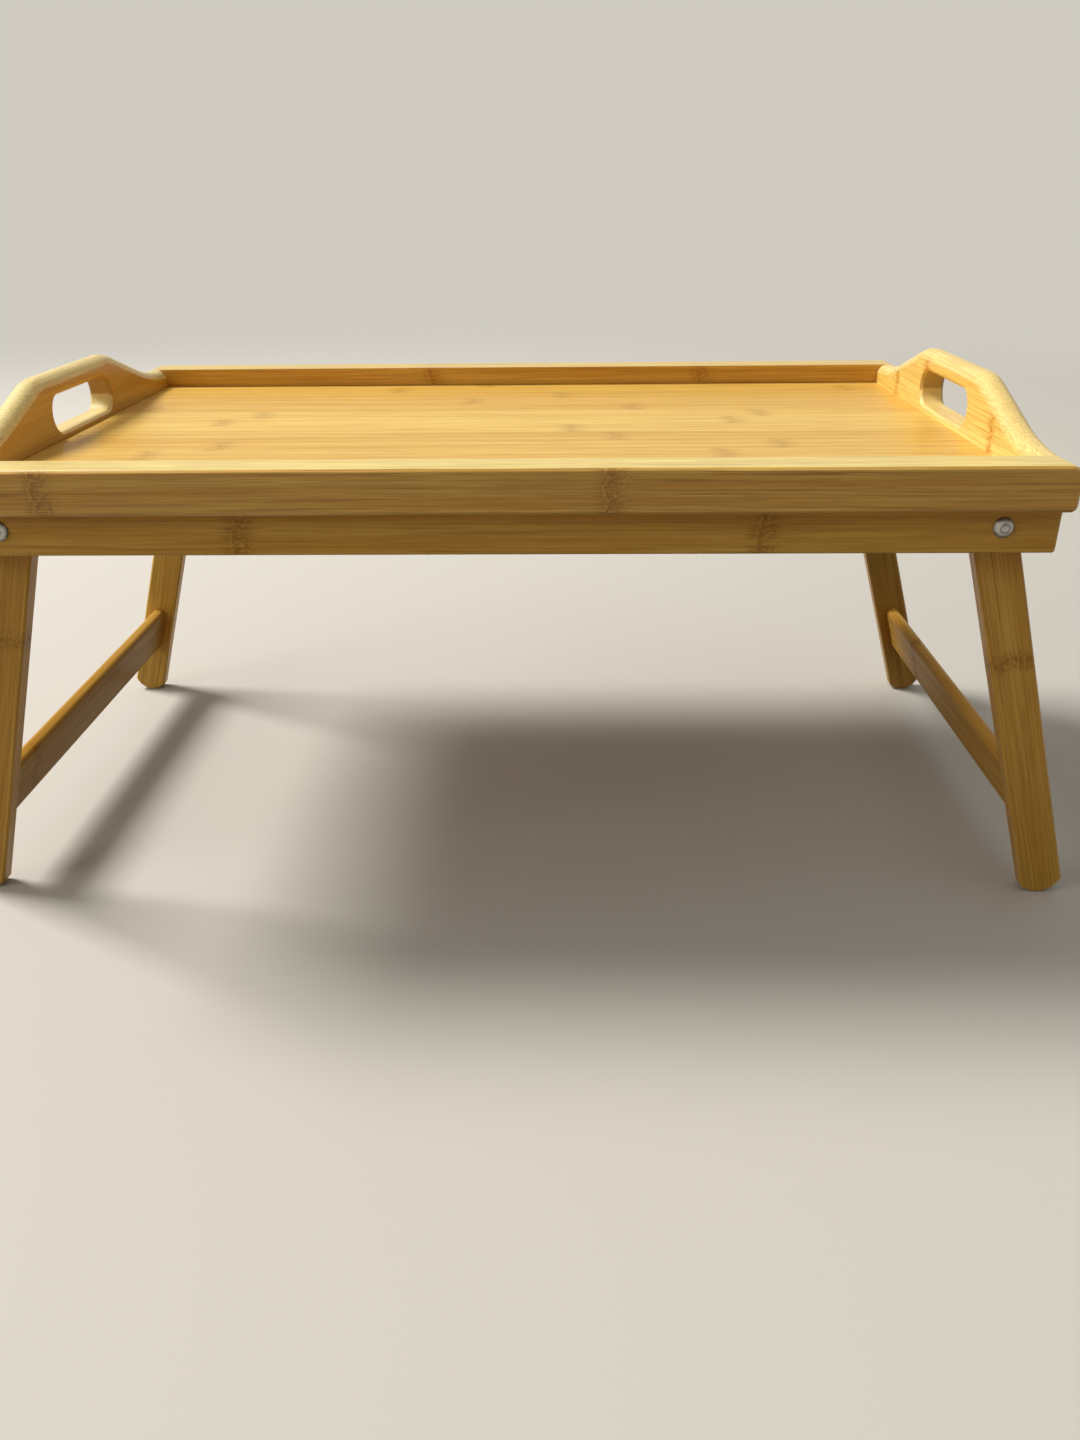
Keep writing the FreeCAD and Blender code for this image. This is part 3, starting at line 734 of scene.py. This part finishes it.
# painted shade: a dark ring round the bolt head's dimple and under its rim
ring_shade_colour = (0.07, 0.06, 0.05, 1)
scuff_depth = 0.00001
scuff_strength = 0.1
dimple_radius = 1.9
dimple_shade_width = 0.7
head_radius = 4.6
rim_shade_width = 1.3
bolt_rings = ((dimple_radius, dimple_shade_width), (head_radius, rim_shade_width))


def metal_material(name, bright, dull, rings=()):
    """Plated metal; rings are pairs of a radius about the pivot and the width there of a ring of
    painted shade.
    """
    material = bpy.data.materials.new(name)
    material.use_nodes = True
    tree = material.node_tree
    shader = tree.nodes["Principled BSDF"]
    coordinates = tree.nodes.new("ShaderNodeTexCoord")
    millimetres = tree.nodes.new("ShaderNodeMapping")
    millimetres.inputs["Scale"].default_value = (in_metre, in_metre, in_metre)
    wire(tree, coordinates, "Object", millimetres.inputs["Vector"])
    plate = tree.nodes.new("ShaderNodeGroup")
    plate.node_tree = plate_group
    plate.inputs["Bright"].default_value = bright
    plate.inputs["Dull"].default_value = dull
    wire(tree, millimetres, "Vector", plate.inputs["Position"])
    colour = plate.outputs["Color"]
    # each ring of painted shade darkens the colour about the pivot
    for radius, width in rings:
        ring_shade = tree.nodes.new("ShaderNodeGroup")
        ring_shade.node_tree = ring_shade_group
        ring_shade.inputs["Pivot X"].default_value = pivots["right_leg_frame"].x * in_metre
        ring_shade.inputs["Pivot Z"].default_value = pivots["right_leg_frame"].z * in_metre
        ring_shade.inputs["Radius"].default_value = radius
        ring_shade.inputs["Width"].default_value = width
        wire(tree, millimetres, "Vector", ring_shade.inputs["Position"])
        darkened = tree.nodes.new("ShaderNodeMix")
        darkened.data_type = "RGBA"
        wire(tree, ring_shade, "PaintedShade", darkened.inputs["Factor"])
        tree.links.new(colour, darkened.inputs["A"])
        darkened.inputs["B"].default_value = ring_shade_colour
        colour = darkened.outputs["Result"]
    tree.links.new(colour, shader.inputs["Base Color"])
    wire(tree, plate, "Roughness", shader.inputs["Roughness"])
    bump = tree.nodes.new("ShaderNodeBump")
    bump.inputs["Strength"].default_value = scuff_strength
    bump.inputs["Distance"].default_value = scuff_depth
    wire(tree, plate, "Height", bump.inputs["Height"])
    wire(tree, bump, "Normal", shader.inputs["Normal"])
    shader.inputs["Metallic"].default_value = 1.0
    return material


nickel_bright = (0.56, 0.54, 0.50, 1)
nickel_dull = (0.38, 0.365, 0.34, 1)
bolt_nickel = metal_material("satin_nickel", nickel_bright, nickel_dull, bolt_rings)
nut_nickel = metal_material("nut_nickel", nickel_bright, nickel_dull)
zinc_bright = (0.54, 0.54, 0.53, 1)
zinc_dull = (0.40, 0.40, 0.39, 1)
zinc = metal_material("zinc_plate", zinc_bright, zinc_dull)
for end in ("front_", "back_"):
    wear_finish(end + "pivot_bolts", bolt_nickel)
    wear_finish(end + "pivot_nuts", nut_nickel)
    wear_finish(end + "spacer_washers", zinc)
    wear_finish(end + "nut_washers", zinc)

# ---- Floor, light and camera ----
# A plain pale floor that fades into an equally pale background.  One large soft lamp is
# behind on the left and a weak one in front on the left; the sky is brightest overhead.
# The camera stands in front, a little to the right of the middle, and looks down.

pale_ground = (0.63, 0.60, 0.54, 1)
ground_bounce = (0.17, 0.15, 0.12, 1)
ground_roughness = 0.9
floor_reach = 30.0
fade_start = 0.9
fade_end = 2.6

floor_mesh = bpy.data.meshes.new("floor")
floor_corners = [(x * floor_reach, y * floor_reach, 0.0)
                 for x, y in ((-1, -1), (1, -1), (1, 1), (-1, 1))]
floor_mesh.from_pydata(floor_corners, [], [(0, 1, 2, 3)])
floor = bpy.data.objects.new("floor", floor_mesh)
bpy.context.scene.collection.objects.link(floor)


def seen_rays(tree):
    """1 for the rays that see the background: from the camera, metal or glass."""
    path = tree.nodes.new("ShaderNodeLightPath")
    mirrored = reckon(tree, "MAXIMUM", path.outputs["Is Glossy Ray"],
                      path.outputs["Is Transmission Ray"])
    return reckon(tree, "MAXIMUM", path.outputs["Is Camera Ray"], mirrored)


floor_material = bpy.data.materials.new("pale_floor")
floor_material.use_nodes = True
floor_tree = floor_material.node_tree
floor_shader = floor_tree.nodes["Principled BSDF"]
floor_shader.inputs["Roughness"].default_value = ground_roughness
floor_place = floor_tree.nodes.new("ShaderNodeTexCoord")
floor_distance = floor_tree.nodes.new("ShaderNodeVectorMath")
floor_distance.operation = "LENGTH"
wire(floor_tree, floor_place, "Object", floor_distance.inputs[0])
near_object = step_down(floor_tree, floor_distance.outputs["Value"], fade_start, fade_end)
seen = seen_rays(floor_tree)
shown = floor_tree.nodes.new("ShaderNodeMix")
shown.data_type = "RGBA"
shown.inputs["A"].default_value = ground_bounce
shown.inputs["B"].default_value = pale_ground
floor_tree.links.new(seen, shown.inputs["Factor"])
wire(floor_tree, shown, "Result", floor_shader.inputs["Base Color"])
glow = floor_tree.nodes.new("ShaderNodeEmission")
glow.inputs["Color"].default_value = pale_ground
faded = floor_tree.nodes.new("ShaderNodeMixShader")
far = reckon(floor_tree, "MULTIPLY", seen, reckon(floor_tree, "SUBTRACT", 1.0, near_object))
floor_tree.links.new(far, faded.inputs["Fac"])
wire(floor_tree, floor_shader, "BSDF", faded.inputs[1])
wire(floor_tree, glow, "Emission", faded.inputs[2])
under = floor_tree.nodes.new("ShaderNodeNewGeometry")
clear = floor_tree.nodes.new("ShaderNodeBsdfTransparent")
one_sided = floor_tree.nodes.new("ShaderNodeMixShader")
from_below = reckon(floor_tree, "MULTIPLY", seen, under.outputs["Backfacing"])
floor_tree.links.new(from_below, one_sided.inputs["Fac"])
wire(floor_tree, faded, "Shader", one_sided.inputs[1])
wire(floor_tree, clear, "BSDF", one_sided.inputs[2])
wire(floor_tree, one_sided, "Shader", floor_tree.nodes["Material Output"].inputs["Surface"])
floor_mesh.materials.append(floor_material)

tray_middle = Vector((0, 0, 0.2))
sky_level = 0.04
sky_overhead = 0.47
sky_colour = (1.0, 0.98, 0.95, 1)


def soft_lamp(name, place, size, power, colour):
    """A square area lamp aimed at the middle of the tray."""
    lamp = bpy.data.lights.new(name, "AREA")
    lamp.size = size
    lamp.energy = power
    lamp.color = colour
    holder = bpy.data.objects.new(name, lamp)
    holder.location = place
    holder.rotation_euler = (tray_middle - Vector(place)).to_track_quat("-Z", "Y").to_euler()
    bpy.context.scene.collection.objects.link(holder)


soft_lamp("key_lamp", place=(-3.0, 1.25, 4.0), size=1.6, power=268.0,
          colour=(1.0, 0.98, 0.95))
soft_lamp("side_lamp", place=(-2.6, -1.4, 1.6), size=1.2, power=14.0,
          colour=(1.0, 0.96, 0.90))

sky = bpy.data.worlds.new("sky")
sky.use_nodes = True
sky_tree = sky.node_tree
heading = sky_tree.nodes.new("ShaderNodeTexCoord")
upward = sky_tree.nodes.new("ShaderNodeSeparateXYZ")
wire(sky_tree, heading, "Generated", upward.inputs[0])
strength = reckon(sky_tree, "MULTIPLY_ADD", upward.outputs["Z"], sky_overhead - sky_level,
                  sky_level)
daylight = sky_tree.nodes["Background"]
daylight.inputs["Color"].default_value = sky_colour
sky_tree.links.new(reckon(sky_tree, "MAXIMUM", strength, sky_level),
                   daylight.inputs["Strength"])
backdrop = sky_tree.nodes.new("ShaderNodeBackground")
backdrop.inputs["Color"].default_value = pale_ground
both = sky_tree.nodes.new("ShaderNodeMixShader")
sky_tree.links.new(seen_rays(sky_tree), both.inputs["Fac"])
wire(sky_tree, daylight, "Background", both.inputs[1])
wire(sky_tree, backdrop, "Background", both.inputs[2])
wire(sky_tree, both, "Shader", sky_tree.nodes["World Output"].inputs["Surface"])
bpy.context.scene.world = sky

camera_place = (0.0317, -0.6154, 0.3395)
camera_yaw = 0.02692
camera_pitch_down = 0.45859
camera_roll = -0.01129
camera_lens = 27.0

camera_data = bpy.data.cameras.new("camera")
camera_data.lens = camera_lens
camera = bpy.data.objects.new("camera", camera_data)
turned = (Matrix.Rotation(camera_yaw, 4, "Z")
          @ Matrix.Rotation(math.pi / 2 - camera_pitch_down, 4, "X")
          @ Matrix.Rotation(camera_roll, 4, "Z"))
camera.matrix_world = Matrix.Translation(camera_place) @ turned
bpy.context.scene.collection.objects.link(camera)
bpy.context.scene.camera = camera
bpy.context.scene.view_settings.view_transform = "Standard"
